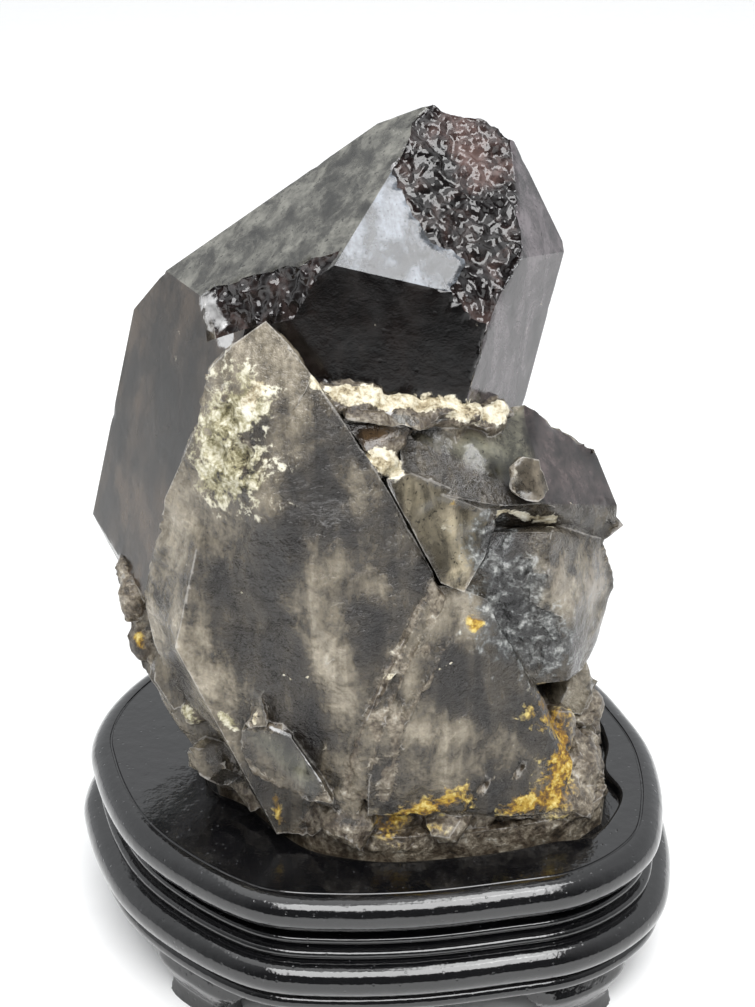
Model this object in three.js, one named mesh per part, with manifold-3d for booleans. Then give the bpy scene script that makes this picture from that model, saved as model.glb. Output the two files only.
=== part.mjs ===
// Lightning quartz on its stand.
// Smoky quartz crystals grown together on one root rest in the carved hollow of
// a black lacquered wooden stand. Millimetres, +Z up, the viewer's side is -Y.
// The origin is on the floor under the middle of the stand.
import * as THREE from "three";
import { ConvexGeometry } from "three/addons/geometries/ConvexGeometry.js";
import { ParametricGeometry } from "three/addons/geometries/ParametricGeometry.js";
import { mergeVertices } from "three/addons/utils/BufferGeometryUtils.js";
import Module from "manifold-3d";

const wasm = await Module();
wasm.setup();

// Driving dimensions
const STAND_TOP = 45; // flat top of the stand above the floor
const HOLLOW_FLOOR = 42; // floor of the carved hollow, where the rock rests
const HOLLOW_CLEARANCE = 0.9; // gap between the rock's foot and the carved wall
const UPPER_BOARD_UNDERSIDE = 36;
const LOWER_BOARD_UNDERSIDE = 14;
const PLUG_TOP = 50; // the rock's foot is upright below this height
const FAR = 200; // longer than anything in the model

// Quartz angles: six prism faces 60 degrees apart, and point faces whose
// normals stand near 51.8 degrees off the long axis.
const FACE_STEP = 60;
const POINT_TILT = 51.8;

// Weathered patches: the size of their small facets and how deep they reach
const PATCH_STEP = 3.1;
const PATCH_DEPTH = 1.3;
const PATCH_ROUGHNESS = 0.8;
const PATCH_JITTER = 0.7;

function rad(degrees) {
  return THREE.MathUtils.degToRad(degrees);
}

function vec([x, y, z]) {
  return new THREE.Vector3(x, y, z);
}

// The same number between -1 and 1 for the same seed, every time.
function noise(seed) {
  const wave = Math.sin(seed * 127.1 + 311.7) * 43758.5453;
  return 2 * (wave - Math.floor(wave)) - 1;
}

// From geometry to a solid that can be joined and cut, and back
function solidOf(geometry) {
  const bare = geometry.clone();
  bare.deleteAttribute("normal");
  bare.deleteAttribute("uv");
  const welded = mergeVertices(bare, 1e-4);
  const corners = welded.index.array;
  const kept = [];
  for (let i = 0; i < corners.length; i += 3) {
    const [a, b, c] = corners.slice(i, i + 3);
    if (a !== b && b !== c && c !== a) {
      kept.push(a, b, c);
    }
  }
  const mesh = new wasm.Mesh({
    numProp: 3,
    vertProperties: new Float32Array(welded.attributes.position.array),
    triVerts: new Uint32Array(kept),
  });
  return new wasm.Manifold(mesh);
}

function geometryOf(solid) {
  const mesh = solid.getMesh();
  const geometry = new THREE.BufferGeometry();
  geometry.setAttribute("position", new THREE.Float32BufferAttribute(mesh.vertProperties, 3));
  geometry.setIndex(new THREE.Uint32BufferAttribute(mesh.triVerts, 1));
  return geometry;
}

function joined(solids) {
  return solids.reduce((whole, solid) => whole.add(solid));
}

// The solid round a few corner points
function hull(points) {
  return solidOf(new ConvexGeometry(points.map(vec)));
}

// A flat outline in X and Y, upright between two heights
function upright(outline, low, high) {
  const shape = new THREE.Shape(outline.map(([x, y]) => new THREE.Vector2(x, y)));
  const block = new THREE.ExtrudeGeometry(shape, { depth: high - low, bevelEnabled: false });
  return solidOf(block.translate(0, 0, low));
}

// An uneven lump of matrix or clay
function lump(centre, size, seed, unevenness = 0.16) {
  const ball = new THREE.IcosahedronGeometry(1, 1);
  ball.deleteAttribute("normal");
  ball.deleteAttribute("uv");
  const welded = mergeVertices(ball, 1e-4);
  const position = welded.attributes.position;
  for (let i = 0; i < position.count; i += 1) {
    const swell = 1 + unevenness * noise(seed * 91 + i);
    position.setXYZ(i, position.getX(i) * swell, position.getY(i) * swell, position.getZ(i) * swell);
  }
  return solidOf(welded.scale(...size).translate(...centre));
}

// Crystals: what lies inside all the faces. Every corner is where three meet.
function meetingPoint(a, b, c) {
  const bc = b.normal.clone().cross(c.normal);
  const ca = c.normal.clone().cross(a.normal);
  const ab = a.normal.clone().cross(b.normal);
  const volume = a.normal.dot(bc);
  if (Math.abs(volume) < 1e-6) {
    return null;
  }
  bc.multiplyScalar(-a.constant);
  ca.multiplyScalar(-b.constant);
  ab.multiplyScalar(-c.constant);
  return bc.add(ca).add(ab).divideScalar(volume);
}

function insideOf(planes) {
  const corners = [];
  for (let i = 0; i < planes.length; i += 1) {
    for (let j = i + 1; j < planes.length; j += 1) {
      for (let k = j + 1; k < planes.length; k += 1) {
        const corner = meetingPoint(planes[i], planes[j], planes[k]);
        if (corner && planes.every((plane) => plane.distanceToPoint(corner) < 1e-5)) {
          corners.push(corner);
        }
      }
    }
  }
  return solidOf(new ConvexGeometry(corners));
}

// The frame of one crystal face: X along it, Y up it, Z out of it. Side 0 is the
// front, then on round the left, the back and the right.
function faceFrame({ centre, turn }, side, tilt, distance) {
  const lean = new THREE.Euler(rad(turn[0]), rad(turn[1]), rad(turn[2]), "ZYX");
  const azimuth = rad(-FACE_STEP * side);
  const slope = Math.sin(rad(tilt));
  const out = vec([slope * Math.sin(azimuth), -slope * Math.cos(azimuth), Math.cos(rad(tilt))]);
  out.applyEuler(lean);
  const along = vec([Math.cos(azimuth), Math.sin(azimuth), 0]).applyEuler(lean);
  const origin = vec(centre).addScaledVector(out, distance);
  return frameOf(origin, out, along);
}

function frameOf(origin, out, along) {
  const up = out.clone().cross(along);
  return new THREE.Matrix4().makeBasis(along, up, out).setPosition(origin);
}

// turn is about X, then Y, then Z, in degrees. prism and point list each face's
// distance from the centre. ends are planes that cut the crystal off.
function crystal(shape) {
  const planes = (shape.ends ?? []).map(([through, out]) =>
    new THREE.Plane().setFromNormalAndCoplanarPoint(vec(out).normalize(), vec(through)));
  const addFace = (side, tilt, distance) => {
    const frame = faceFrame(shape, side, tilt, distance);
    const out = new THREE.Vector3().setFromMatrixColumn(frame, 2);
    const origin = new THREE.Vector3().setFromMatrixPosition(frame);
    planes.push(new THREE.Plane().setFromNormalAndCoplanarPoint(out, origin));
  };
  shape.prism.forEach((distance, side) => addFace(side, 90, distance));
  shape.point.forEach((distance, side) => addFace(side, shape.tilts?.[side] ?? POINT_TILT, distance));
  return insideOf(planes);
}

// A small crystal that grows from a base point, with slightly uneven faces
function smallCrystal({ base, turn, radius, length, seed }) {
  const uneven = (size, spread, key) =>
    Array.from({ length: 6 }, (_, side) => size * (1 + spread * noise(seed * 13 + key + side)));
  const lean = new THREE.Euler(rad(turn[0]), rad(turn[1]), rad(turn[2]), "ZYX");
  const downAxis = vec([0, 0, -1]).applyEuler(lean);
  const root = vec(base).addScaledVector(downAxis, radius);
  return crystal({
    centre: base,
    turn,
    prism: uneven(radius, 0.2, 0),
    point: uneven(length * Math.cos(rad(POINT_TILT)), 0.1, 50),
    ends: [[root.toArray(), downAxis.toArray()]],
  });
}

// What a weathered patch takes away: everything above its outline, down to a
// floor of small uneven facets.
function patchCutter(frame, outline, seed, depth = PATCH_DEPTH) {
  const shape = new THREE.Shape(outline.map(([x, y]) => new THREE.Vector2(x, y)));
  const wall = new THREE.ExtrudeGeometry(shape, { depth: 30, bevelEnabled: false });
  const bounds = new THREE.Box2().setFromPoints(shape.getPoints()).expandByScalar(PATCH_STEP);
  const size = bounds.getSize(new THREE.Vector2());
  const middle = bounds.getCenter(new THREE.Vector2());
  const columns = Math.ceil(size.x / PATCH_STEP);
  const rows = Math.ceil(size.y / PATCH_STEP);
  const slab = new THREE.BoxGeometry(size.x, size.y, 20, columns, rows, 1);
  const position = slab.attributes.position;
  for (let i = 0; i < position.count; i += 1) {
    if (position.getZ(i) < 0) {
      const key = seed + 0.618 * position.getX(i) + 2.377 * position.getY(i);
      position.setX(i, position.getX(i) + PATCH_JITTER * noise(key + 5));
      position.setY(i, position.getY(i) + PATCH_JITTER * noise(key + 9));
      position.setZ(i, position.getZ(i) + PATCH_ROUGHNESS * noise(key));
    }
  }
  slab.translate(middle.x, middle.y, 10 - depth);
  wall.translate(0, 0, -5);
  return solidOf(wall).intersect(solidOf(slab)).transform(frame.elements);
}

// Main smoky crystal: leaning to the right, its point weathered at the top
const mainShape = {
  centre: [-6, 12, 135],
  turn: [-11.5, 13, -2.4],
  prism: [30.1, 36.6, 51.4, 36, 32.4, 35.4],
  point: [44.9, 39.4, 42.8, 39.4, 53, 53.3],
  tilts: [50.6, 52.6, 51.5, 51.8, 52.1, 55.7],
  ends: [
    [[0, 0, HOLLOW_FLOOR + 4], [0, 0, -1]],
    [[-62, 3, 107], [-0.86, -0.38, -0.34]],
    [[-50, 24, 78], [-0.62, 0.3, -0.72]],
    [[-5, 44, 70], [0.1, 0.75, -0.65]],
    [[22.2, 21.5, 196.9], [0.56, 0.3, 0.72]],
  ],
};

// Weathered patch that covers the upper right of the front point face
const pointPatch = [
  [-1, 56],
  [-0.5, 48],
  [0.3, 42],
  [-0.3, 37],
  [-2, 32],
  [3.5, 23.5],
  [9, 18],
  [16.5, 15.7],
  [17.3, 12.5],
  [14.5, 8],
  [18.5, 2],
  [24, 2],
  [26, 14],
  [28, 21],
  [25.5, 33],
  [22.5, 45.5],
  [14, 60],
];

// Weathered bevels where the left point face meets the prism, and at the
// right-hand end of the edge under the front point face
function bevelFrame(through, out, along) {
  const outward = vec(out).normalize();
  const across = vec(along).projectOnPlane(outward).normalize();
  return frameOf(vec(through), outward, across);
}

const leftBevel = {
  frame: bevelFrame([-21, -2.5, 167], [-0.54, -0.78, 0.31], [0.84, -0.42, 0.42]),
  outline: [
    [-17, -8],
    [-18, 2],
    [-13, 5],
    [-8, 13],
    [0, 15],
    [3, 8],
    [8, 13],
    [17, 14],
    [19, 5],
    [14, -1],
    [7, -8],
  ],
};
const rightBevel = {
  frame: bevelFrame([17, -10.5, 166.5], [0.1, -0.85, 0.5], [1, 0.05, -0.1]),
  outline: [
    [2, -1.2],
    [0.2, 3.5],
    [0.7, 5.8],
    [2, 9],
    [11, 9],
    [11, -5],
    [5.3, -3],
  ],
};

function mainCrystal() {
  const frontFace = faceFrame(mainShape, 0, mainShape.tilts[0], mainShape.point[0]);
  return crystal(mainShape)
    .subtract(patchCutter(frontFace, pointPatch, 1))
    .subtract(patchCutter(leftBevel.frame, leftBevel.outline, 400, 0.4))
    .subtract(patchCutter(rightBevel.frame, rightBevel.outline, 900, 0));
}

// Milky crystal in front: a left face, a darker right face and a blunt crown
function milkyCrystal() {
  const body = hull([
    [-17, -22, 162],
    [-12, -24, 157],
    [2, -29, 136],
    [13.5, -32, 113.5],
    [-36, -19, 144],
    [-45, -15, 122.5],
    [-49, -12, 105.5],
    [-51, -12, 95],
    [-49, -14, 83],
    [-42, -20, 73],
    [-23, -31, 134],
    [-12, -36.5, 116],
    [-8, -40.5, 98.5],
    [-1, -43, 87],
    [-3, -41.5, 57],
    [-14, -39, 60],
    [-30, -31, 68],
    [-30, 0, 148],
    [-18, -2, 150],
    [-13, -4, 145],
    [1, -9, 124],
    [-42, 5, 90],
    [10, -8, 100],
    [5, -5, 52],
    [-30, -5, 55],
  ]);
  const crown = hull([
    [-21.5, -19, 167],
    [-17, -21.5, 163],
    [-12.2, -24, 157],
    [-28, -19, 162],
    [-34, -18, 155],
    [-36.5, -18, 144],
    [-38, -17, 137],
    [-20, -27.5, 149],
    [-14, -26, 153],
    [-26, -29.5, 134],
    [-36, -22, 132],
    [-30, -5, 150],
    [-18, -5, 154],
    [-30, -5, 130],
  ]);
  // Clay-filled pits in the crown
  const pits = [
    lump([-30.5, -23.5, 147], [3.2, 3.5, 3.6], 31),
    lump([-27.5, -27, 140.5], [3.4, 3, 4], 32),
    lump([-33, -23.5, 139], [3, 3, 3.6], 33),
    lump([-31, -22.5, 152], [2.2, 2.6, 2.4], 34),
  ];
  return body.add(crown).subtract(joined(pits));
}

// Lower right block with its crisp upper edge and two slanting clefts
function lowerBlock() {
  const block = hull([
    [14, -31, 111],
    [18.8, -31.6, 110.6],
    [24.6, -30.6, 107.2],
    [25.6, -31.6, 97.2],
    [31, -32.9, 88.9],
    [39.5, -33, 73.5],
    [45.5, -30, 63],
    [9, -38.2, 99],
    [2.5, -43.6, 84],
    [-0.5, -43, 70],
    [-1, -42, 58],
    [17, -41, 58],
    [30, -38.5, 55],
    [42, -33.5, 52],
    [12, -5, 96],
    [22, -5, 80],
    [38, -5, 58],
    [44, -5, 52],
    [0, -5, 52],
  ]);
  // Fills the seam where the block meets the milky crystal
  const upperSeam = hull([
    [13.6, -32.3, 113.6],
    [9.8, -34.8, 108],
    [7.7, -36.6, 103.2],
    [5.5, -38.4, 98],
    [2.8, -41.4, 91.1],
    [-1.2, -43.3, 84.2],
    [16.6, -32.1, 106.3],
    [17.1, -34, 101.4],
    [14.5, -37, 97],
    [11.3, -39.8, 89.9],
    [7.3, -42.7, 83.5],
    [8.4, -19.2, 105],
    [4.1, -18.7, 86],
  ]);
  const lowerSeam = hull([
    [-1.4, -43.1, 85.1],
    [-3.9, -42.2, 75.9],
    [-5.2, -41.7, 68.7],
    [-5.7, -41.3, 61.5],
    [7, -42.6, 84.6],
    [5.2, -43.4, 76.6],
    [3.9, -43.1, 69.7],
    [3.5, -42.5, 62.4],
    [0.6, -21.3, 85.4],
    [0.4, -21.7, 61.7],
  ]);
  const clefts = [
    hull([[21.5, -43, 60.5], [24.5, -43, 59.5], [28, -42, 67], [25.5, -42, 68], [25, -36, 64]]),
    hull([[27, -42, 60.5], [29.8, -42, 59], [37.5, -40, 72], [35, -40, 73.5], [33, -34, 66]]),
  ];
  return joined([block, upperSeam, lowerSeam]).subtract(joined(clefts));
}

// Upper right crystal: a mottled front and a striated side
function upperRightCrystal() {
  const body = hull([
    [6, -20, 142],
    [12, -12, 142.5],
    [21, -8, 142],
    [33, -4, 140],
    [37, -2, 136],
    [45, 0, 129.5],
    [50, 0, 125],
    [52, -2, 120],
    [54.5, -4, 115],
    [56, -6, 111],
    [51, -10, 109],
    [6, -24, 135],
    [14, -27, 131],
    [27, -27, 128],
    [36.5, -24, 127],
    [20, -10, 105],
    [40, 14, 124],
    [48, 12, 108],
    [30, 8, 98],
    [5, 0, 120],
  ]);
  const knob = hull([
    [28, -25, 136],
    [30.5, -24, 138.5],
    [35, -23, 137],
    [37.5, -24.5, 129.5],
    [36, -27, 129],
    [31, -28, 130],
    [28.5, -27, 132],
    [32, -20, 130],
  ]);
  return body.add(knob);
}

// Lower right crystal, its frosted front rough, hollowed underneath
function lowerRightCrystal() {
  const body = hull([
    [24, -24, 120],
    [38, -26, 121],
    [51, -10, 110],
    [53, -8, 103],
    [55, -8, 96],
    [53, -10, 91],
    [49, -14, 80],
    [48, -16, 79.5],
    [20.6, -28, 114.5],
    [20, -28.6, 106],
    [25, -29.8, 93],
    [31.5, -29.5, 84],
    [43, -27.5, 84],
    [44, -27.5, 100],
    [37.5, -30, 113],
    [48, 8, 108],
    [50, 8, 84],
    [20, 0, 84],
    [20, 0, 110],
  ]);
  const frosted = bevelFrame([33, -29, 99], [0, -1, 0.02], [1, 0, 0]);
  const outline = [
    [-12, -20],
    [8, -20],
    [11, -10.5],
    [12, -4.5],
    [9, 1.5],
    [4.8, 4.5],
    [0.5, 7],
    [0.8, 14],
    [1.8, 20],
    [0, 26],
    [-12, 26],
  ];
  return body.subtract(patchCutter(frosted, outline, 1500, 0.2));
}

// Triangular plate wedged between the milky crystal and the right-hand ones
function wedgedPlate() {
  return hull([
    [2.5, -30, 136.5],
    [7, -28, 137],
    [15.5, -26, 131],
    [26, -24, 126.5],
    [26.5, -25, 123],
    [24.5, -28, 117.5],
    [19.5, -33, 110.5],
    [14.5, -34, 113.5],
    [5, -20, 134],
    [24, -18, 122],
    [17, -24, 108],
  ]);
}

// Clay, two small blades and a brown crystal in the notch behind the plate
function notchFilling() {
  const clay = [
    lump([-8.5, -17, 149], [7, 5, 3.4], 1, 0.24),
    lump([-2, -17, 147.6], [6.5, 5.5, 3.4], 2, 0.24),
    lump([5, -17, 145.6], [7, 5, 3.3], 3, 0.24),
    lump([12, -16, 144.8], [7, 5, 3], 4, 0.24),
    lump([17.5, -14.5, 143.6], [6, 5, 2.8], 5, 0.24),
    lump([23, -9, 140.6], [8, 6, 3.4], 7, 0.3),
    lump([2.5, -24, 137.5], [4.6, 4, 2.6], 6, 0.24),
  ];
  const blades = [
    hull([[-6, -23, 149], [3.5, -23, 147.8], [8.8, -22.5, 144.4], [-6, -25, 147.4], [2.7, -25, 145.7], [0, -12, 144]]),
    hull([[4, -21.5, 148], [11, -20.5, 146.4], [14, -20, 144], [9.4, -24, 144.4], [3, -24, 146.2], [8, -12, 142]]),
  ];
  const brown = hull([
    [-6, -22, 146],
    [8.8, -21, 143.6],
    [6.5, -22.5, 140],
    [5.5, -23.5, 138.6],
    [2, -25.5, 138],
    [-1, -25.5, 139.5],
    [-2, -14, 140],
    [6, -14, 138],
  ]);
  return joined([...clay, ...blades, brown]);
}

// Root mass that everything grows from, with its crust of lumps
const footOutline = [
  [-37, 12],
  [-39, -4],
  [-36, -15],
  [-28, -21],
  [-21, -29],
  [-14, -36],
  [-6, -38.5],
  [4, -40],
  [20, -38.5],
  [30, -36.5],
  [39, -34],
  [47, -31],
  [53, -25],
  [54.5, -16],
  [53, -8],
  [55, 2],
  [54, 12],
  [49, 23],
  [38, 31],
  [22, 36],
  [4, 37],
  [-15, 34],
  [-30, 25],
];

function rootMass() {
  const mass = hull([
    [-59, 0, 98],
    [-57, -3, 88],
    [-53, -8, 74],
    [-46, -15, 66],
    [-40, -19, 56],
    [-36, -18, 47],
    [-50, 22, 98],
    [-46, 26, 70],
    [-36, 26, 47],
    [-10, 36, 90],
    [-8, 38, 47],
    [30, 34, 80],
    [34, 32, 47],
    [50, 14, 80],
    [53, 8, 47],
    [52, -10, 52],
    [40, -28, 56],
    [0, -36, 56],
    [-25, -27, 56],
  ]);
  const crust = footOutline.map(([x, y], i) => {
    const inward = 0.83 + 0.04 * noise(i + 7);
    const size = [8.5 + 2 * noise(i + 20), 8.5 + 2 * noise(i + 33), 7 + 2.5 * noise(i + 40)];
    return lump([x * inward, y * inward, 51 + 2 * noise(i)], size, 60 + i, 0.24);
  });
  return mass.add(joined(crust));
}

// Small crystals and shards along the left foot
function leftShards() {
  const tabular = hull([
    [-29.4, -34, 75.4],
    [-22.5, -36, 78],
    [-18.7, -38, 78.3],
    [-10.4, -44, 68],
    [-8, -44, 62.5],
    [-13, -44, 63],
    [-22.7, -38, 64],
    [-25.7, -36, 63.7],
    [-29.6, -34, 70.5],
    [-24, -24, 76],
    [-12, -30, 66],
    [-24, -25, 62],
    [-10, -34, 60],
  ]);
  const column = hull([
    [-26.3, -32, 83.5],
    [-24, -33.5, 85],
    [-22.6, -37, 78],
    [-27, -35.5, 76.7],
    [-25, -26, 83],
    [-25, -26, 77],
  ]);
  const wedge = hull([
    [-35.3, -26.5, 74.7],
    [-33, -27.5, 75.6],
    [-28, -31.5, 72.3],
    [-31, -31, 70.3],
    [-34.7, -28, 71.5],
    [-28, -20, 72],
  ]);
  return joined([
    tabular,
    column,
    wedge,
    lump([-39.5, -18, 69], [4, 4, 3.2], 71),
    lump([-54.5, -3, 90], [3.6, 5, 6], 72, 0.1),
    lump([-52.5, -6, 80], [3.4, 4, 4.5], 73),
    smallCrystal({ base: [-45, -13, 74], turn: [-8, -30, 0], radius: 4.5, length: 9, seed: 74 }),
    smallCrystal({ base: [-37, -21, 58], turn: [25, -40, 0], radius: 5, length: 8, seed: 75 }),
  ]);
}

// Small crystals and lumps up the right foot, below the lower right crystal
function rightLumps() {
  return joined([
    smallCrystal({ base: [46, -8, 70], turn: [8, 16, 10], radius: 5, length: 9, seed: 81 }),
    lump([48.5, -6, 62], [5, 6, 5], 82, 0.24),
    lump([49.5, -2, 54], [5, 7, 5], 83, 0.24),
    lump([47, -20, 56], [6, 7, 8], 84, 0.24),
    lump([41.5, -22, 66], [5, 5, 8], 85, 0.24),
  ]);
}

// Crystals on the far side, which lean outwards from the root
function backCrystals() {
  return joined([
    smallCrystal({ base: [-30, 26, 88], turn: [-24, -16, 0], radius: 15, length: 34, seed: 91 }),
    smallCrystal({ base: [16, 28, 80], turn: [-28, 14, 12], radius: 14, length: 33, seed: 92 }),
    smallCrystal({ base: [-8, 32, 66], turn: [-40, -4, 20], radius: 10, length: 24, seed: 93 }),
    smallCrystal({ base: [38, 14, 84], turn: [-14, 34, 0], radius: 11, length: 24, seed: 94 }),
    lump([-34, 22, 62], [12, 10, 12], 95),
    lump([26, 27, 60], [14, 9, 11], 96),
  ]);
}

function quartzCluster() {
  const grown = joined([
    mainCrystal(),
    milkyCrystal(),
    lowerBlock(),
    upperRightCrystal(),
    lowerRightCrystal(),
    wedgedPlate(),
    notchFilling(),
    rootMass(),
    leftShards(),
    rightLumps(),
    backCrystals(),
  ]);
  const below = new THREE.BoxGeometry(FAR, FAR, FAR).translate(0, 0, PLUG_TOP - 2 - FAR / 2);
  return grown.subtract(solidOf(below)).add(upright(footOutline, HOLLOW_FLOOR, PLUG_TOP));
}

// Stand: the border of its flat top, drawn through a few points
const BORDER_POINTS = [
  [64.7, -8],
  [63.6, 3],
  [59.5, 15.5],
  [53.5, 28.5],
  [44, 39.5],
  [30, 48.5],
  [12, 53.3],
  [-8, 54],
  [-27, 51],
  [-43, 43.5],
  [-54, 33],
  [-60.5, 22.5],
  [-63.8, 13],
  [-64.7, 4],
  [-63, -4],
  [-59.3, -15],
  [-53.3, -27],
  [-45, -37],
  [-31, -48.3],
  [-22, -52.6],
  [-8, -54],
  [10, -53.3],
  [30, -50],
  [44, -46.7],
  [54, -40.5],
  [61, -32],
  [64, -20],
];
const BORDER_STEPS = 52;
const borderCurve = new THREE.CatmullRomCurve3(
  BORDER_POINTS.map(([x, y]) => new THREE.Vector3(x, y, 0)), true, "centripetal");

// A point at a way round the border, moved out from it by an offset
function borderPoint(way, offset) {
  const turnOnce = ((way % 1) + 1) % 1;
  const point = borderCurve.getPointAt(turnOnce);
  const along = borderCurve.getTangentAt(turnOnce);
  return [point.x + along.y * offset, point.y - along.x * offset];
}

// Round part of a profile, in offset and height
function arc([offset, height], radius, from, to, steps) {
  return Array.from({ length: steps + 1 }, (_, i) => {
    const angle = rad(from + ((to - from) * i) / steps);
    return [offset + radius * Math.cos(angle), height + radius * Math.sin(angle)];
  });
}

// A board whose edge profile follows the border, from its top down
function moulded(profile) {
  const top = profile[0][1];
  const bottom = profile[profile.length - 1][1];
  const rows = [null, ...profile, null];
  const place = (way, down, target) => {
    const row = Math.round(down * (rows.length - 1));
    const step = Math.round(way * BORDER_STEPS) % BORDER_STEPS;
    if (rows[row] === null) {
      target.set(0, 0, row === 0 ? top : bottom);
      return;
    }
    const [offset, height] = rows[row];
    const [x, y] = borderPoint(-step / BORDER_STEPS, offset);
    target.set(x, y, height);
  };
  const skin = new ParametricGeometry(place, BORDER_STEPS, rows.length - 1);
  return solidOf(skin);
}

function carvedHollow() {
  const outline = footOutline.map(([x, y], i) => {
    const reach = Math.hypot(x, y);
    const ragged = x > 45 && y < 0 ? 2 + noise(i) : 0.5 + 0.5 * noise(i);
    const scale = 1 + (HOLLOW_CLEARANCE + ragged) / reach;
    return [x * scale, y * scale];
  });
  return upright(outline, HOLLOW_FLOOR, STAND_TOP + 5);
}

function standTop() {
  const board = moulded([
    [-1.5, STAND_TOP],
    [-1.1, STAND_TOP - 0.4],
    [-0.7, STAND_TOP],
    ...arc([-0.4, 40.6], 4.4, 90, -75, 8),
    [-1.6, UPPER_BOARD_UNDERSIDE],
  ]);
  return board.subtract(carvedHollow());
}

function standBase() {
  return moulded([
    [-1.6, UPPER_BOARD_UNDERSIDE],
    [-1.4, 34.4],
    ...arc([0.1, 32.7], 0.9, 90, -90, 3),
    [-0.2, 31.4],
    ...arc([1.4, 29.8], 1.1, 80, -80, 3),
    ...arc([2.6, 24.1], 4.3, 84, -80, 7),
    ...arc([3.2, 17.4], 1.9, 80, -80, 4),
    [2.8, LOWER_BOARD_UNDERSIDE + 0.7],
    [2, LOWER_BOARD_UNDERSIDE],
  ]);
}

// One foot: a block that follows the border and draws in towards the floor
function foot(way) {
  const level = (height, inner, outer, halfSpan) => {
    const corners = [];
    for (let i = -2; i <= 2; i += 1) {
      const spot = way + (halfSpan * i) / 2;
      corners.push([...borderPoint(spot, inner), height], [...borderPoint(spot, outer), height]);
    }
    return corners;
  };
  const shoulder = level(LOWER_BOARD_UNDERSIDE, -9, 0.5, 0.05);
  const belly = level(9.5, -8, 2.6, 0.036);
  const ankle = level(4, -7, 0.6, 0.024);
  const sole = level(0, -7.5, 1.4, 0.026);
  return joined([hull([...shoulder, ...belly]), hull([...belly, ...ankle]), hull([...ankle, ...sole])]);
}

const FEET = {
  foot_front_left: 0.64,
  foot_front_right: 0.89,
  foot_back_right: 0.14,
  foot_back_left: 0.39,
};

// Finishes
const quartz = new THREE.MeshStandardMaterial({ color: 0x5b5450, roughness: 0.3, metalness: 0 });
const lacquer = new THREE.MeshStandardMaterial({ color: 0x0b0b0d, roughness: 0.12, metalness: 0 });

function piece(name, solid, material) {
  const mesh = new THREE.Mesh(geometryOf(solid), material);
  mesh.name = name;
  return mesh;
}

const model = new THREE.Group();
model.add(piece("quartz_cluster", quartzCluster(), quartz));
model.add(piece("stand_top", standTop(), lacquer));
model.add(piece("stand_base", standBase(), lacquer));
for (const [name, way] of Object.entries(FEET)) {
  model.add(piece(name, foot(way), lacquer));
}

export default model;
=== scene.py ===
# Lightning quartz on its stand: smoky quartz crystals grown together on one root
# rest in the hollow of a black lacquered stand. Metres, +Z up.
import math

import bmesh
import bpy
import numpy as np
from mathutils import Matrix, Vector, noise
from mathutils.bvhtree import BVHTree


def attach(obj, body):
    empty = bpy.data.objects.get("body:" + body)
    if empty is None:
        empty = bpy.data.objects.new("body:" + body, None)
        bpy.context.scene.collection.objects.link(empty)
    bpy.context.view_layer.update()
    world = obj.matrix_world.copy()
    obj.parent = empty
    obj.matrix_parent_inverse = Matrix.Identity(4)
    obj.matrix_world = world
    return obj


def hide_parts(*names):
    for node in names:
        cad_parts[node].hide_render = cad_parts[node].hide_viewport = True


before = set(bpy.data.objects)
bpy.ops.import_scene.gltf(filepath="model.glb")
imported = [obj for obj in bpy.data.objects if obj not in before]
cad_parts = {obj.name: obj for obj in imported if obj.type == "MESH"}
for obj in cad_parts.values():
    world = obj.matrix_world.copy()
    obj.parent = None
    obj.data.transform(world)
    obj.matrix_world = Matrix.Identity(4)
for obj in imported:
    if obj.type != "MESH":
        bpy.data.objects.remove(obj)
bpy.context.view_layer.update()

MM = 0.001

# Camera, found from the stand's border and the rock's edges in the photo
CAMERA_PLACE = (0.0012, -0.3931, 0.3401)
CAMERA_TILT = math.radians(60)
VIEW_HEIGHT = math.radians(28)
PHOTO_WIDTH = 755
PHOTO_HEIGHT = 1007

# Rock's fine mesh: lengths in millimetres, areas in square millimetres, angles in radians
GLASSY_GRAIN = 1.9
CRUST_GRAIN = 1.4
ETCHED_GRAIN = 0.85
WELD_GAP = 0.002
SAME_PLANE = 0.9999
SMALL_FACET_AREA = 14
BROAD_AREA = 90
BACK_FACET_AREA = 200
CRISP_ANGLE = 0.5
PINNED_ANGLE = 1.0
BROAD_ROUNDS = 34
SMALL_ROUNDS = 3

# Rock's parts, by place in millimetres
HOLLOW_FLOOR = 42
STILL_TOP = 42.4
LOW_CRUST_TOP = 46
CRUST_TOP = 52
ROCK_FOOT_TOP = 50.5
ETCHED_BOTTOM = 152
CROWN_Y = -17
BACK_Y = 8
FROSTED_X = (20, 44)
FROSTED_Y = -24
FROSTED_Z = (78, 120)


def add_camera():
    data = bpy.data.cameras.new("camera")
    data.sensor_width = 36
    data.lens = data.sensor_width / 2 / math.tan(VIEW_HEIGHT / 2)
    camera = bpy.data.objects.new("camera", data)
    camera.location = CAMERA_PLACE
    camera.rotation_euler = (CAMERA_TILT, 0, 0)
    bpy.context.scene.collection.objects.link(camera)
    bpy.context.scene.camera = camera


# Rock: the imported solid, its flat facets numbered
def read_rock():
    rock = bmesh.new()
    rock.from_mesh(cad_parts["quartz_cluster"].data)
    bmesh.ops.remove_doubles(rock, verts=rock.verts, dist=WELD_GAP * MM)
    bmesh.ops.dissolve_degenerate(rock, edges=rock.edges, dist=WELD_GAP * MM)
    bmesh.ops.triangulate(rock, faces=rock.faces)
    rock.normal_update()
    return rock


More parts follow.
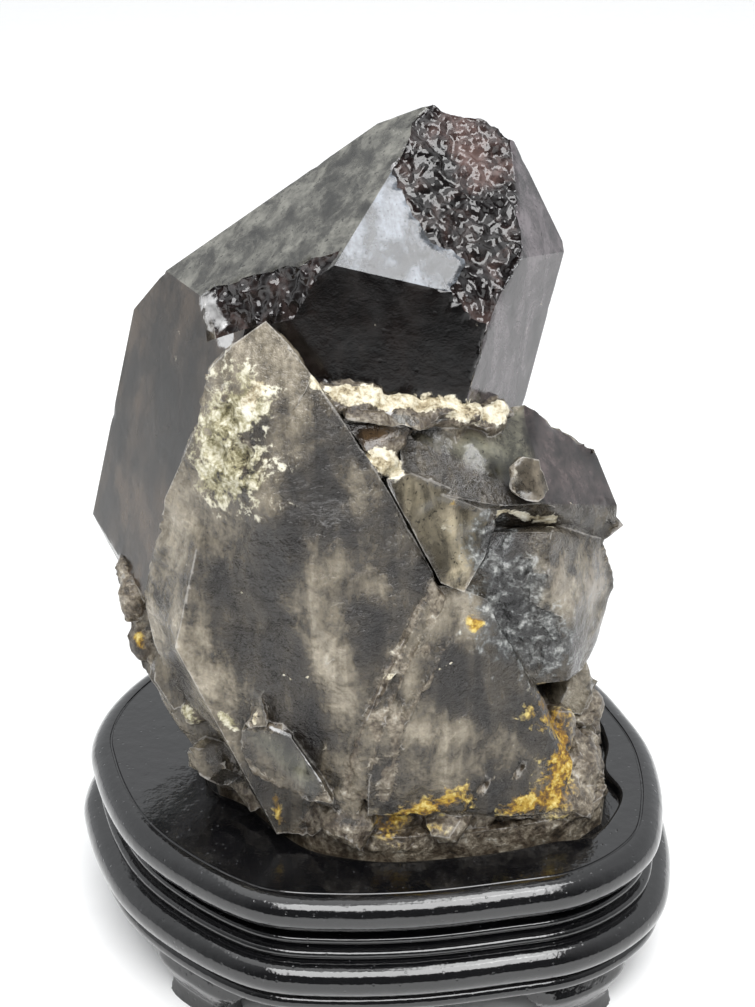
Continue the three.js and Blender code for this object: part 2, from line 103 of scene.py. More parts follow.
def number_facets(rock):
    """Gives faces that share a plane one number, and returns each number's area."""
    facet = rock.faces.layers.int.new("facet")
    areas = [0.0]
    for first in rock.faces:
        if first[facet]:
            continue
        number = len(areas)
        areas.append(0.0)
        first[facet] = number
        waiting = [first]
        while waiting:
            face = waiting.pop()
            areas[number] += face.calc_area() / MM**2
            for edge in face.edges:
                for other in edge.link_faces:
                    if not other[facet] and other.normal.dot(face.normal) > SAME_PLANE:
                        other[facet] = number
                        waiting.append(other)
    return areas


# Where a point of the photo lies on the rock
def photo_ray(x, y):
    reach = PHOTO_HEIGHT / 2 / math.tan(VIEW_HEIGHT / 2)
    ray = Vector((x - PHOTO_WIDTH / 2, PHOTO_HEIGHT / 2 - y, -reach))
    return Matrix.Rotation(CAMERA_TILT, 3, "X") @ ray.normalized()


def on_rock(tree, x, y):
    """The place and the face that the camera sees there, or None where it misses the rock."""
    place, _, face, _ = tree.ray_cast(Vector(CAMERA_PLACE), photo_ray(x, y))
    return (place, face) if place else None


# Kinds of surface that the rock's small facets have
GLASSY = 0
ETCHED = 1
FROSTED = 2
CRUST = 3


def kind_of(centre, area):
    """Which kind of surface a facet has, from its middle in millimetres and its area."""
    x, y, z = centre
    if area > SMALL_FACET_AREA:
        return CRUST if z < CRUST_TOP else GLASSY
    if z > ETCHED_BOTTOM:
        return ETCHED if y > CROWN_Y else GLASSY
    if FROSTED_X[0] < x < FROSTED_X[1] and y < FROSTED_Y and FROSTED_Z[0] < z < FROSTED_Z[1]:
        return FROSTED
    return CRUST


def mark_kinds(rock, areas, tones):
    facet = rock.faces.layers.int["facet"]
    kind = rock.faces.layers.int.new("kind")
    for face in rock.faces:
        if face[facet] in tones:
            face[kind] = GLASSY
        else:
            face[kind] = kind_of(face.calc_center_median() / MM, areas[face[facet]])


def smoothed(rock, verts, rounds):
    for _ in range(rounds):
        bmesh.ops.smooth_vert(
            rock, verts=verts, factor=0.5, use_axis_x=True, use_axis_y=True, use_axis_z=True
        )


def refine(rock):
    """Splits long edges until each facet has an even net of small triangles."""
    grains = {GLASSY: GLASSY_GRAIN, ETCHED: ETCHED_GRAIN, FROSTED: ETCHED_GRAIN, CRUST: CRUST_GRAIN}
    facet = rock.faces.layers.int["facet"]
    kind = rock.faces.layers.int["kind"]
    for _ in range(10):
        long_edges = [
            edge
            for edge in rock.edges
            if edge.calc_length() / MM > min(grains[face[kind]] for face in edge.link_faces)
        ]
        if not long_edges:
            break
        bmesh.ops.subdivide_edges(rock, edges=long_edges, cuts=1, use_grid_fill=True)
        bmesh.ops.triangulate(rock, faces=[face for face in rock.faces if len(face.verts) > 3])
        flat = [edge for edge in rock.edges if len({face[facet] for face in edge.link_faces}) == 1]
        bmesh.ops.beautify_fill(rock, faces=rock.faces, edges=flat)
    inner = [vert for vert in rock.verts if len({face[facet] for face in vert.link_faces}) == 1]
    smoothed(rock, inner, 2)


def soften(rock, areas, polished):
    """Rounds the milky crystals' low ridges and the crust's lumps, beside the polished faces."""
    rock.normal_update()
    kind = rock.faces.layers.int["kind"]
    facet = rock.faces.layers.int["facet"]
    broad = []
    small = []
    for vert in rock.verts:
        if vert.co.z < ROCK_FOOT_TOP * MM:
            continue
        if any(polished[face[facet]] for face in vert.link_faces):
            continue
        kinds = {face[kind] for face in vert.link_faces}
        pinned = any(
            edge.link_faces[0][facet] != edge.link_faces[1][facet]
            and edge.calc_face_angle(0) > PINNED_ANGLE
            for edge in vert.link_edges
        )
        if kinds == {GLASSY} and not pinned:
            smallest = min(areas[face[facet]] for face in vert.link_faces)
            (broad if smallest > BROAD_AREA else small).append(vert)
        elif CRUST in kinds:
            small.append(vert)
    smoothed(rock, broad, BROAD_ROUNDS)
    smoothed(rock, small, SMALL_ROUNDS)


def cell_height(place, size):
    """A landscape of small pyramids, from 0 at a cell's middle to about 1 at its border."""
    distances, _ = noise.voronoi(place / size)
    return min(1.0, distances[0] * 1.4)


def waves(place, size, octaves=3):
    return noise.fractal(place / size, 1.0, 2.0, octaves)


def roughness_of(vert, kinds, edge_angle, is_polished):
    """How far a vertex moves out along its normal, in millimetres."""
    place = vert.co / MM
    if kinds[ETCHED]:
        slanted = Vector((place.x, place.y * 1.3, place.z * 0.6))
        pits = cell_height(slanted, 2.6) * 1.1 + cell_height(slanted + Vector((7, 3, 1)), 1.4) * 0.5
        return (0.8 - pits) * 1.2 * kinds[ETCHED]
    if kinds[FROSTED]:
        pits = cell_height(place, 2.3) * 0.6 + cell_height(place + Vector((5, 9, 2)), 1.1) * 0.4
        return (0.4 - pits) * 0.8 * kinds[FROSTED] + 0.4 * waves(place, 7.0)
    if kinds[CRUST]:
        low = place.z < LOW_CRUST_TOP
        lumps = 1.0 * waves(place, 5.0) + 0.6 * waves(place + Vector((3, 1, 7)), 1.8)
        return lumps * (0.3 if low else 1.0) * kinds[CRUST]
    if edge_angle > CRISP_ANGLE:
        chip = max(0.0, waves(place, 6.0) - 0.25)
        return -0.7 * min(1.0, chip)
    if is_polished:
        return 0.05 * waves(place, 14.0, 2) + 0.015 * waves(place, 4.0, 2)
    ledge = max(0.0, waves(place + Vector((2, 8, 4)), 9.0, 2))
    return 1.0 * waves(place, 15.0, 2) + 0.3 * waves(place, 4.5) - 0.5 * min(1.0, ledge * 2)


def shape_surface(rock, polished):
    """Moves each vertex by its surface's own roughness, and marks crisp edges and the edges that get a
    painted highlight.
    """
    rock.normal_update()
    kind = rock.faces.layers.int["kind"]
    facet = rock.faces.layers.int["facet"]
    angles = {}
    for edge in rock.edges:
        pair = edge.link_faces
        turned = pair[0].normal.angle(pair[1].normal, 0)
        kinds = {face[kind] for face in pair}
        crisp = turned > (0.9 if kinds == {CRUST} else 0.3)
        crisp_pit = turned > 0.7 and kinds & {ETCHED}
        edge.smooth = not (crisp_pit or (crisp and ETCHED not in kinds) or FROSTED in kinds)
        if pair[0][facet] != pair[1][facet]:
            for vert in edge.verts:
                angles[vert.index] = max(angles.get(vert.index, 0), turned)
    moves = []
    painted_edge_highlight = rock.verts.layers.float.new("painted_edge_highlight")
    for vert in rock.verts:
        faces = vert.link_faces
        angle = angles.get(vert.index, 0)
        # Crisp edges of the rough faces get a painted highlight, lighter in colour
        if angle > CRISP_ANGLE and not any(polished[face[facet]] for face in faces):
            vert[painted_edge_highlight] = 1.0
        kinds = [sum(face[kind] == which for face in faces) / len(faces) for which in range(4)]
        is_polished = all(polished[face[facet]] for face in faces)
        move = roughness_of(vert, kinds, angle, is_polished)
        moves.append(vert.normal * move * MM)
    for vert, move in zip(rock.verts, moves):
        if vert.co.z > STILL_TOP * MM:
            vert.co += move
    for face in rock.faces:
        face.smooth = face[kind] != FROSTED


# Stains and painted glints: the points of the photo that each one runs through, after its half-width
# in mm
STAINS = {
    "milky": [
        (9, [(262, 345), (280, 372), (252, 385)]),
        (8, [(246, 376), (216, 402), (204, 432)]),
        (3, [(139, 496), (146, 530), (153, 572)]),
        (2.5, [(118, 470), (126, 512)]),
        (5, [(301, 405), (284, 440), (266, 478), (257, 500)]),
        (9, [(190, 480), (176, 520), (172, 575)]),
        (8, [(214, 500), (210, 535)]),
        (6, [(312, 575), (306, 600), (318, 640), (340, 690), (366, 745)]),
        (5, [(450, 600), (425, 640), (400, 690), (382, 740)]),
        (6, [(350, 765), (356, 800)]),
        (5, [(328, 575), (346, 553)]),
        (4, [(366, 583), (378, 592)]),
        (4, [(364, 476), (355, 502)]),
        (5, [(408, 722), (436, 735)]),
        (4, [(445, 735), (472, 738)]),
        (6, [(450, 780), (500, 750)]),
        (6, [(455, 600), (478, 620)]),
        (7, [(180, 640), (214, 690)]),
        (8, [(545, 588), (565, 602)]),
        (5, [(586, 560), (602, 622)]),
        (8, [(572, 690), (592, 735), (585, 790), (600, 802)]),
        (6, [(150, 605), (160, 626)]),
        (4, [(130, 585), (132, 615)]),
    ],
    "moss": [
        (9, [(232, 420), (222, 446), (233, 470)]),
        (7, [(244, 402), (228, 432)]),
        (1.6, [(222, 716), (236, 724)]),
        (1.8, [(189, 711), (200, 722)]),
        (6, [(216, 482), (226, 470)]),
    ],
    "clay": [
        (2.6, [(316, 382), (345, 392), (385, 399), (430, 402), (470, 408), (498, 411)]),
        (3, [(372, 460), (394, 468)]),
        (0.55, [(370, 681), (399, 675)]),
        (0.55, [(434, 672), (455, 662), (478, 650)]),
        (0.6, [(283, 676), (296, 683), (309, 677)]),
        (2.6, [(504, 513), (530, 518), (552, 520)]),
        (3, [(262, 384), (250, 400)]),
        (0.9, [(258, 698), (254, 722)]),
    ],
    "rust": [
        (5, [(545, 708), (560, 732), (562, 762), (556, 796)]),
        (4.8, [(389, 821), (420, 813), (452, 802)]),
        (3.6, [(512, 807), (547, 799)]),
        (1.6, [(472, 620), (477, 625)]),
        (1.2, [(274, 795), (281, 822)]),
        (1, [(455, 504), (462, 508)]),
        (1.5, [(138, 636), (142, 648)]),
    ],
    "dark": [
        (8, [(268, 450), (276, 500), (284, 555)]),
        (10, [(330, 420), (345, 470), (384, 520)]),
        (9, [(336, 528), (404, 572)]),
        (9, [(372, 618), (398, 662)]),
        (8, [(220, 578), (244, 612)]),
        (8, [(250, 640), (278, 668)]),
        (8, [(430, 690), (472, 690)]),
        (8, [(505, 722), (482, 772)]),
        (7, [(308, 720), (318, 735)]),
        (6, [(485, 478), (470, 490)]),
        (10, [(170, 450), (180, 400)]),
        (5, [(120, 430), (112, 500)]),
    ],
    "pink": [(6, [(458, 125), (476, 152), (482, 170)])],
    # Painted glints: a bright bevel and thin highlights along crisp edges, painted into the colour
    "glint_highlight": [
        (2.4, [(208, 300), (216, 318), (228, 340)]),
        (0.6, [(271, 727), (290, 735), (323, 785)]),
        (0.5, [(385, 412), (415, 420), (440, 420)]),
    ],
    "frost": [
        (8, [(492, 540), (505, 575), (500, 610)]),
        (9, [(510, 630), (550, 645)]),
    ],
}

# Tones, and a point of the photo on each facet that has one; the main crystal's face tones are partly
# painted reflection and painted shade
# Main crystal's faces: sage, umber, mauve, pale blue and lilac brown stand partly for the reflection
# and shade each face gets, painted into its colour
SAGE = (0.108, 0.106, 0.092)
UMBER = (0.004, 0.0025, 0.002)
MAUVE = (0.078, 0.067, 0.072)
PALE_BLUE_TONE_AND_REFLECTION = (0.110, 0.122, 0.140)
LILAC_BROWN = (0.034, 0.024, 0.016)
STRAW_GREY = (0.240, 0.208, 0.145)
GREEN_GREY = (0.108, 0.104, 0.076)
PURPLE_GREY = (0.048, 0.036, 0.035)
SANDY = (0.108, 0.092, 0.070)
HONEY = (0.17, 0.10, 0.045)
# Painted highlight on a blade's faces, as a pale icy tone
ICE_HIGHLIGHT = (0.36, 0.42, 0.42)
SMOKE = (0.090, 0.077, 0.062)
CREAM = (0.55, 0.49, 0.39)
POLISHED_TONES = {SAGE, UMBER, MAUVE, PALE_BLUE_TONE_AND_REFLECTION, LILAC_BROWN, PURPLE_GREY}
TONED_FACETS = [
    (SAGE, (275, 232)),
    (UMBER, (400, 330)),
    (UMBER, (470, 360)),
    (MAUVE, (515, 330)),
    (MAUVE, (530, 200)),
    (PALE_BLUE_TONE_AND_REFLECTION, (370, 240)),
    (LILAC_BROWN, (140, 380)),
    (STRAW_GREY, (430, 530)),
    (STRAW_GREY, (470, 530)),
    (STRAW_GREY, (400, 490)),
    (STRAW_GREY, (452, 570)),
    (GREEN_GREY, (440, 440)),
    (GREEN_GREY, (480, 470)),
    (GREEN_GREY, (500, 440)),
    (PURPLE_GREY, (560, 460)),
    (PURPLE_GREY, (590, 500)),
    (PURPLE_GREY, (535, 430)),
    (SANDY, (590, 600)),
    (SANDY, (550, 560)),
    (SANDY, (600, 560)),
    (SANDY, (528, 480)),
    (SANDY, (518, 485)),
    (GREEN_GREY, (280, 760)),
    (CREAM, (257, 700)),
    (CREAM, (252, 716)),
    (CREAM, (262, 720)),
    (SANDY, (534, 470)),
    (SANDY, (534, 490)),
    (SANDY, (545, 480)),
    (HONEY, (385, 435)),
    (ICE_HIGHLIGHT, (400, 418)),
    (ICE_HIGHLIGHT, (440, 421)),
]


def distance_to_line(places, line):
    """Each place's distance to a line through a few points, all in millimetres."""
    nearest = np.full(len(places), np.inf)
    for start, end in zip(line, line[1:]):
        along = end - start
        way = np.clip((places - start) @ along / max(along @ along, 1e-9), 0, 1)
        nearest = np.minimum(nearest, np.linalg.norm(places - start - way[:, None] * along, axis=1))
    return nearest


def stain_values(places, tree, runs):
    """1 in the middle of a stain, 0 at its border and less outside."""
    values = np.full(len(places), -1.0)
    for half_width, photo_points in runs:
        hits = [on_rock(tree, x, y) for x, y in photo_points]
        line = [np.array(hit[0]) / MM for hit in hits if hit]
        if len(line) > 1:
            values = np.maximum(values, 1 - distance_to_line(places, line) / half_width)
    return values


def blurred(values, corners, kept, rounds):
    """Face values shared out among neighbours, apart from those of kept faces."""
    counts = np.bincount(corners.ravel()).astype(float)
    for _ in range(rounds):
        sums = np.stack(
            [np.bincount(corners.ravel(), np.repeat(part, 3)) for part in values.T], axis=1
        )
        shared = (sums / counts[:, None])[corners].mean(axis=1)
        values = np.where(kept[:, None], values, shared)
    return values


def write_values(mesh, name, values, domain="POINT"):
    attribute = mesh.attributes.new(name, "FLOAT", domain)
    attribute.data.foreach_set("value", np.asarray(values, dtype=np.float32))


def toned_facets(rock, tree):
    """The tone of each facet that has its own, by facet number."""
    rock.faces.ensure_lookup_table()
    facet = rock.faces.layers.int["facet"]
    tones = {}
    for tone, (x, y) in TONED_FACETS:
        hit = on_rock(tree, x, y)
        if hit:
            tones[rock.faces[hit[1]][facet]] = tone
    return tones


def polished_facets(rock, areas, tones):
    """Whether each facet stays flat and smooth, by facet number."""
    facet = rock.faces.layers.int["facet"]
    polished = [False] * len(areas)
    for face in rock.faces:
        behind = face.calc_center_median().y > BACK_Y * MM
        on_back = behind and areas[face[facet]] > BACK_FACET_AREA
        polished[face[facet]] = on_back or tones.get(face[facet]) in POLISHED_TONES
    return polished


def write_surface(mesh, facets, kinds, corners, polished, tones):
    """Stores what each face's surface is like, shared out among neighbours."""
    etched = kinds == ETCHED
    write_values(mesh, "etched", etched, "FACE")
    for name, which in (("frosted", FROSTED), ("crust", CRUST)):
        soft = blurred((kinds == which)[:, None].astype(float), corners, etched | polished, 4)
        write_values(mesh, name, soft[:, 0], "FACE")
    tint = mesh.attributes.new("tone", "FLOAT_COLOR", "FACE")
    colours = np.array([(*tones.get(number, SMOKE), 1.0) for number in facets])
    colours = blurred(colours, corners, polished, 7)
    tint.data.foreach_set("color", colours.astype(np.float32).ravel())
    own_tone = np.array([number in tones for number in facets])
    own_tone = blurred(own_tone[:, None].astype(float), corners, polished, 5)
    write_values(mesh, "toned", own_tone[:, 0], "FACE")


def build_rock():
    rock = read_rock()
    areas = number_facets(rock)
    tree = BVHTree.FromBMesh(rock)
    facet = rock.faces.layers.int["facet"]
    tones = toned_facets(rock, tree)
    polished = polished_facets(rock, areas, tones)
    mark_kinds(rock, areas, tones)
    refine(rock)
    soften(rock, areas, polished)
    rock.verts.index_update()
    shape_surface(rock, polished)
    kind = rock.faces.layers.int["kind"]
    facets = np.array([face[facet] for face in rock.faces])
    kinds = np.array([face[kind] for face in rock.faces])
    corners = np.array([[vert.index for vert in face.verts] for face in rock.faces])
    mesh = bpy.data.meshes.new("rock")
    rock.to_mesh(mesh)
    rock.free()
    places = np.empty(len(mesh.vertices) * 3, dtype=np.float32)
    mesh.vertices.foreach_get("co", places)
    places = places.reshape(-1, 3) / MM
    for name, runs in STAINS.items():
        write_values(mesh, name, stain_values(places, tree, runs))
    write_surface(mesh, facets, kinds, corners, np.array(polished)[facets], tones)
    return finished_piece("crystal_cluster", mesh, quartz_material(), "quartz", "quartz_cluster")


def finished_piece(name, mesh, material, slot, *nodes):
    """A piece that stands for CAD nodes, with its material."""
    piece = bpy.data.objects.new(name, mesh)
    bpy.context.scene.collection.objects.link(piece)
    mesh.materials.append(material)
    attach(piece, "root")
    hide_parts(*nodes)
    return piece


# Shader nodes
class Shader:
    """A material's node tree, with one short call for each kind of node."""

    def __init__(self, name):
        self.material = bpy.data.materials.new(name)
        self.material.use_nodes = True
        self.tree = self.material.node_tree
        self.tree.nodes.clear()
        self.place = self.node("ShaderNodeTexCoord").outputs["Object"]

    def node(self, kind, inputs=None, **settings):
        node = self.tree.nodes.new(kind)
        for key, value in settings.items():
            setattr(node, key, value)
        for key, value in (inputs or {}).items():
            if isinstance(value, bpy.types.NodeSocket):
                self.tree.links.new(value, node.inputs[key])
            else:
                node.inputs[key].default_value = value
        return node

    def attribute(self, name, output="Fac"):
        return self.node("ShaderNodeAttribute", attribute_name=name).outputs[output]

    def stretched(self, turn, scale):
        """The object's coordinates, turned in degrees and scaled."""
        angles = tuple(math.radians(angle) for angle in turn)
        inputs = {"Vector": self.place, "Rotation": angles, "Scale": scale}
        return self.node("ShaderNodeMapping", inputs).outputs[0]

    def noise(self, size_mm, detail=4.0, roughness=0.55, distortion=0.0, place=None):
        inputs = {
            "Vector": place or self.place,
            "Scale": 1 / (size_mm * MM),
            "Detail": detail,
            "Roughness": roughness,
            "Distortion": distortion,
        }
        return self.node("ShaderNodeTexNoise", inputs).outputs["Fac"]

    def cells(self, size_mm):
        inputs = {"Vector": self.place, "Scale": 1 / (size_mm * MM)}
        return self.node("ShaderNodeTexVoronoi", inputs).outputs["Distance"]

    def math(self, operation, first, second=0.0):
        node = self.node("ShaderNodeMath", {0: first, 1: second}, operation=operation)
        return node.outputs[0]

    def total(self, *parts):
        """The sum of several values."""
        result = parts[0]
        for part in parts[1:]:
            result = self.math("ADD", result, part)
        return result

    def largest(self, *parts):
        """The largest of several values."""
        result = parts[0]
        for part in parts[1:]:
            result = self.math("MAXIMUM", result, part)
        return result

    def centred(self, noise, gain):
        """Noise moved to about 0 and made stronger."""
        return self.math("MULTIPLY", self.math("SUBTRACT", noise, 0.5), gain)

    def ramp(self, value, stops):
        """Colours at several values, with smooth changes between."""
        low, high = stops[0][0], stops[-1][0]
        inputs = {"Value": value, "From Min": low, "From Max": high}
        share = self.node("ShaderNodeMapRange", inputs).outputs[0]
        node = self.node("ShaderNodeValToRGB", {"Fac": share})
        places = node.color_ramp.elements
        for at, _ in stops[1:-1]:
            places.new((at - low) / (high - low))
        for place, (_, colour) in zip(places, stops):
            place.color = (*colour, 1.0)
        return node.outputs["Color"]

    def step(self, value, low, high, out_low=0.0, out_high=1.0):
        """A smooth rise from out_low to out_high as value goes from low to high."""
        inputs = {
            "Value": value,
            "From Min": low,
            "From Max": high,
            "To Min": out_low,
            "To Max": out_high,
        }
        return self.node("ShaderNodeMapRange", inputs, interpolation_type="SMOOTHSTEP").outputs[0]

    def mix(self, factor, first, second):
        node = self.node("ShaderNodeMix", {"Factor": factor}, data_type="RGBA")
        colours = [socket for socket in node.inputs if socket.type == "RGBA"]
        for socket, value in zip(colours, (first, second)):
            if isinstance(value, bpy.types.NodeSocket):
                self.tree.links.new(value, socket)
            else:
                socket.default_value = (*value, 1.0)
        return [socket for socket in node.outputs if socket.type == "RGBA"][0]

    def blend(self, factor, first, second):
        """A number between first and second."""
        node = self.node("ShaderNodeMix", {"Factor": factor}, data_type="FLOAT")
        for socket, value in zip(list(node.inputs)[2:4], (first, second)):
            if isinstance(value, bpy.types.NodeSocket):
                self.tree.links.new(value, socket)
            else:
                socket.default_value = value
        return node.outputs[0]

    def scaled(self, colour, factor):
        """A colour made lighter or darker by a number."""
        node = self.node("ShaderNodeVectorMath", {0: colour, "Scale": factor}, operation="SCALE")
        return node.outputs[0]

    def laid_over(self, colour, cover, share, values, stops):
        """A colour under a cover that is as opaque as share and has its own ramp of colours."""
        return self.mix(self.math("MULTIPLY", cover, share), colour, self.ramp(values, stops))

    def bump(self, height, strength, distance_mm, normal=None):
        inputs = {"Height": height, "Strength": strength, "Distance": distance_mm * MM}
        if normal:
            inputs["Normal"] = normal
        return self.node("ShaderNodeBump", inputs).outputs[0]

    def finish(self, inputs, volume=None):
        surface = self.node("ShaderNodeBsdfPrincipled", inputs)
        output = self.node("ShaderNodeOutputMaterial", {"Surface": surface.outputs[0]})
        if volume:
            self.tree.links.new(volume, output.inputs["Volume"])
        return self.material


# Colours of the quartz and what covers it, from dark to light
SMOKY_STOPS = [
    (0.00, (0.008, 0.006, 0.005)),
    (0.22, (0.028, 0.023, 0.018)),
    (0.42, (0.074, 0.062, 0.045)),
    (0.60, (0.145, 0.124, 0.090)),
    (0.80, (0.285, 0.250, 0.190)),
    (1.00, (0.520, 0.480, 0.400)),
]
CRUST_STOPS = [
    (-0.45, (0.016, 0.011, 0.007)),
    (-0.15, (0.070, 0.050, 0.032)),
    (0.10, (0.175, 0.145, 0.104)),
    (0.32, (0.310, 0.270, 0.210)),
    (0.55, (0.540, 0.510, 0.440)),
]
FROST_STOPS = [
    (-0.35, (0.010, 0.011, 0.012)),
    (-0.05, (0.042, 0.044, 0.046)),
    (0.18, (0.135, 0.143, 0.142)),
    (0.42, (0.360, 0.370, 0.360)),
]
MOSS_STOPS = [
    (-0.50, (0.035, 0.030, 0.010)),
    (-0.20, (0.190, 0.170, 0.085)),
    (0.05, (0.440, 0.410, 0.270)),
    (0.32, (0.740, 0.710, 0.580)),
]
CLAY_STOPS = [
    (-0.50, (0.080, 0.058, 0.032)),
    (-0.20, (0.340, 0.285, 0.180)),
    (0.10, (0.600, 0.550, 0.420)),
    (0.40, (0.740, 0.710, 0.600)),
]
RUST_STOPS = [
    (-0.45, (0.035, 0.020, 0.008)),
    (-0.12, (0.190, 0.095, 0.012)),
    (0.12, (0.420, 0.260, 0.025)),
    (0.42, (0.660, 0.530, 0.180)),
]
# Colour of the painted highlight along crisp edges
EDGE_HIGHLIGHT_COLOUR = (0.42, 0.40, 0.37)
# Colour of the painted glints
GLINT_HIGHLIGHT_COLOUR = (0.60, 0.60, 0.60)
ETCH_DARK = (0.008, 0.006, 0.006)
ETCH_LIGHT = (0.06, 0.040, 0.036)
ETCH_PINK = (0.150, 0.095, 0.085)

# Quartz: its middle tone, its clearest parts, how it bends light and how it absorbs it
SMOKE_LEVEL = 0.385
CLEAREST = 0.55
QUARTZ_IOR = 1.544
ABSORPTION_COLOUR = (0.45, 0.37, 0.31, 1)
ABSORPTION_DENSITY = 40.0


class QuartzPattern:
    """Noises that the quartz's colour, clearness and relief share, and where its stains show."""

    def __init__(self, shader):
        self.shader = shader
        self.clouds = shader.noise(26, 4, 0.55, 0.8)
        self.wisps = shader.noise(9, 5, 0.6, 0.9)
        self.grain = shader.noise(1.1, 3, 0.65)
        self.broken = shader.noise(4.0, 5, 0.66, 0.4)
        self.veils = shader.noise(7, 4, 0.6, 0.6, shader.stretched((0, 32, 20), (1.3, 1.0, 0.22)))
        self.ragged = shader.total(
            shader.centred(self.broken, 1.0),
            shader.centred(self.wisps, 0.6),
            shader.centred(self.grain, 0.35),
        )
        self.lumpy = shader.total(shader.centred(self.broken, 2.2), shader.centred(self.grain, 1.4))
        crust = shader.attribute("crust")
        self.moss = self.stain("moss", 0.0, 0.5, 4.0)
        self.clay = self.stain("clay", 0.1, 0.3, 2.2, shader.centred(crust, 0.6))
        self.rust = self.stain("rust", 0.0, 0.8, 3.6)
        self.etched = shader.attribute("etched")
        self.toned = shader.attribute("toned")
        self.crusted = shader.step(shader.total(crust, shader.centred(self.broken, 1.6)), 0.3, 0.7)
        self.level = self.smoke_level()

    def stain(self, name, low, high, gain, bias=0.0):
        """Where a stain shows: its own spread, broken up by noise."""
        shader = self.shader
        spread = shader.total(shader.attribute(name), shader.math("MULTIPLY", self.ragged, gain), bias)
        return shader.step(spread, low, high)

    def smoke_level(self):
        """How milky the quartz is, from its clouds, veils and stains."""
        shader = self.shader
        level = shader.total(
            shader.centred(self.clouds, 0.6),
            shader.centred(self.wisps, 0.4),
            shader.centred(self.veils, 0.9),
            shader.centred(self.broken, 0.4),
            shader.centred(self.grain, 0.25),
            shader.math("MULTIPLY", self.stain("milky", -0.6, 1.2, 2.0), 0.33),
        )
        dark = shader.math("MULTIPLY", self.stain("dark", -0.6, 1.2, 2.0), 0.20)
        return shader.total(shader.math("SUBTRACT", level, dark), SMOKE_LEVEL)


def quartz_colour(shader, pattern):
    level = pattern.level
    shade = shader.step(level, 0.10, 0.80, 0.25, 1.9)
    specks = shader.step(shader.noise(0.9, 2, 0.5), 0.64, 0.69, 1.0, 0.3)
    # Facet tones: on the main crystal's faces partly painted reflection and shade, on the blade a
    # painted highlight
    tone = shader.attribute("tone", "Color")
    toned = shader.scaled(tone, shader.math("MULTIPLY", shade, specks))
    colour = shader.mix(pattern.toned, shader.ramp(level, SMOKY_STOPS), toned)
    colour = shader.laid_over(colour, pattern.crusted, 0.75, pattern.lumpy, CRUST_STOPS)
    # Crisp edges made lighter: a painted highlight along the edges
    painted_edge_highlight = shader.step(shader.total(shader.attribute("painted_edge_highlight"), pattern.ragged), 0.62, 1.0)
    colour = shader.mix(shader.math("MULTIPLY", painted_edge_highlight, 0.55), colour, EDGE_HIGHLIGHT_COLOUR)
    etch = shader.mix(shader.step(pattern.wisps, 0.45, 0.7), ETCH_DARK, ETCH_LIGHT)
    pink = pattern.stain("pink", -0.3, 1.0, 1.5)
    etch = shader.mix(shader.math("MULTIPLY", pink, 0.8), etch, ETCH_PINK)
    colour = shader.mix(pattern.etched, colour, etch)
    frosted = shader.largest(shader.attribute("frosted"), pattern.stain("frost", 0.0, 0.6, 2.6))
    colour = shader.laid_over(colour, frosted, 0.85, pattern.lumpy, FROST_STOPS)
    colour = shader.laid_over(colour, pattern.moss, 0.85, pattern.lumpy, MOSS_STOPS)
    colour = shader.laid_over(colour, pattern.clay, 1.0, pattern.lumpy, CLAY_STOPS)
    colour = shader.laid_over(colour, pattern.rust, 0.95, pattern.lumpy, RUST_STOPS)
    # Painted highlights: white glints on a bevel and along crisp edges
    glint_highlight = pattern.stain("glint_highlight", 0.0, 0.4, 1.8)
    return shader.mix(shader.math("MULTIPLY", glint_highlight, 0.8), colour, GLINT_HIGHLIGHT_COLOUR)


def quartz_roughness(shader, pattern, dull):
    roughness = shader.blend(shader.step(pattern.wisps, 0.4, 0.7), 0.12, 0.28)
    roughness = shader.blend(pattern.crusted, roughness, 0.36)
    roughness = shader.blend(pattern.etched, roughness, 0.06)
    return shader.blend(dull, roughness, 0.85)


def quartz_normal(shader, pattern):
    """Small pits and shallow relief, calmer on the flat and the etched facets."""
    pits = shader.step(shader.cells(4.5), 0.05, 0.13)
    relief = shader.total(pattern.broken, shader.math("MULTIPLY", pattern.grain, 0.5))
    calm = shader.largest(pattern.toned, pattern.etched)
    normal = shader.bump(pits, shader.blend(pattern.etched, 0.15, 0.0), 0.12)
    return shader.bump(relief, shader.blend(calm, 0.9, 0.05), 1.1, normal)


def quartz_material():
    shader = Shader("smoky_quartz")
    pattern = QuartzPattern(shader)
    dull = shader.largest(pattern.clay, pattern.moss, pattern.rust)
    milky = shader.step(pattern.level, 0.15, 0.6)
    cloudy = shader.largest(dull, milky, shader.math("MULTIPLY", pattern.crusted, 0.8))
    surface = {
        "Base Color": quartz_colour(shader, pattern),
        "Roughness": quartz_roughness(shader, pattern, dull),
        "IOR": QUARTZ_IOR,
        "Transmission Weight": shader.blend(cloudy, CLEAREST, 0.0),
        "Normal": quartz_normal(shader, pattern),
    }
    inside = {"Color": ABSORPTION_COLOUR, "Density": ABSORPTION_DENSITY}
    absorption = shader.node("ShaderNodeVolumeAbsorption", inside)
    return shader.finish(surface, absorption.outputs[0])


# Black gloss lacquer
LACQUER_IOR = 1.5
LACQUER_BLACK = (0.003, 0.003, 0.0035)
LACQUER_DUST = (0.05, 0.05, 0.055)
COAT_WEIGHT = 0.55
COAT_ROUGHNESS = 0.04


